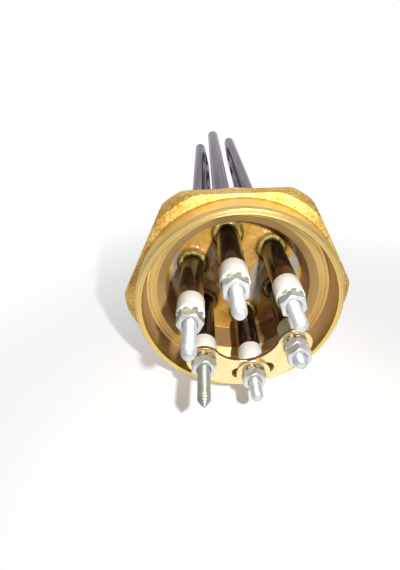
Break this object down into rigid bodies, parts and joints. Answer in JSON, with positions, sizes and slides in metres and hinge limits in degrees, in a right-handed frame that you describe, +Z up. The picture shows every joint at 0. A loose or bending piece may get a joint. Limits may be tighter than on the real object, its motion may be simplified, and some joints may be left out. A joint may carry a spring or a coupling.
{
  "type": "screw plug immersion heater",
  "caption": "Brass screw plug immersion heater with a stepped open terminal cup, U-bent sheathed elements and a bridged star point.",
  "frame": {"origin": "centre of the plug on its seat plane, where the threaded shank meets the back of the hexagon", "axes": "+Y along the plug axis into the tank, towards the element bends; +Z up, square to a flat of the hexagon; +X to the right seen from the terminals"},
  "size_m": [0.077, 0.2818, 0.07],
  "materials": {
    "brass_cast": "cast and turned, satin",
    "brass_sheet": "smooth, bright",
    "braze": "rough",
    "resin": "glossy",
    "stainless": "bright",
    "zinc": "bright zinc",
    "ceramic": "satin",
    "magnesia": "packed powder",
    "nichrome": "drawn wire"
  },
  "bodies": {
    "root": {"plug_body": "brass_cast", "cup_seal": "resin", "braze_collars": "braze", "braze_fillets": "braze", "sheath_left": "stainless", "sheath_middle": "stainless", "sheath_right": "stainless", "magnesia_left": "magnesia", "magnesia_middle": "magnesia", "magnesia_right": "magnesia", "coil_left": "nichrome", "coil_middle": "nichrome", "coil_right": "nichrome", "stud_upper_left": "zinc", "stud_upper_middle": "zinc", "stud_upper_right": "zinc", "stud_lower_left": "zinc", "stud_lower_middle": "zinc", "stud_lower_right": "zinc", "bush_upper_left": "ceramic", "bush_upper_middle": "ceramic", "bush_upper_right": "ceramic", "bush_lower_left": "ceramic", "bush_lower_middle": "ceramic", "bush_lower_right": "ceramic", "lock_washer_upper_left": "zinc", "lock_washer_upper_middle": "zinc", "lock_washer_upper_right": "zinc", "lock_washer_lower_left": "zinc", "lock_washer_lower_middle": "zinc", "lock_washer_lower_right": "zinc", "nut_upper_left": "zinc", "nut_upper_middle": "zinc", "nut_upper_right": "zinc", "nut_lower_left": "zinc", "nut_lower_middle": "zinc", "nut_lower_right": "zinc", "jam_nut_lower_right": "zinc", "under_nut_lower_middle": "zinc", "star_bridge": "brass_sheet", "plain_washer": "brass_sheet"}
  },
  "joints": []
}
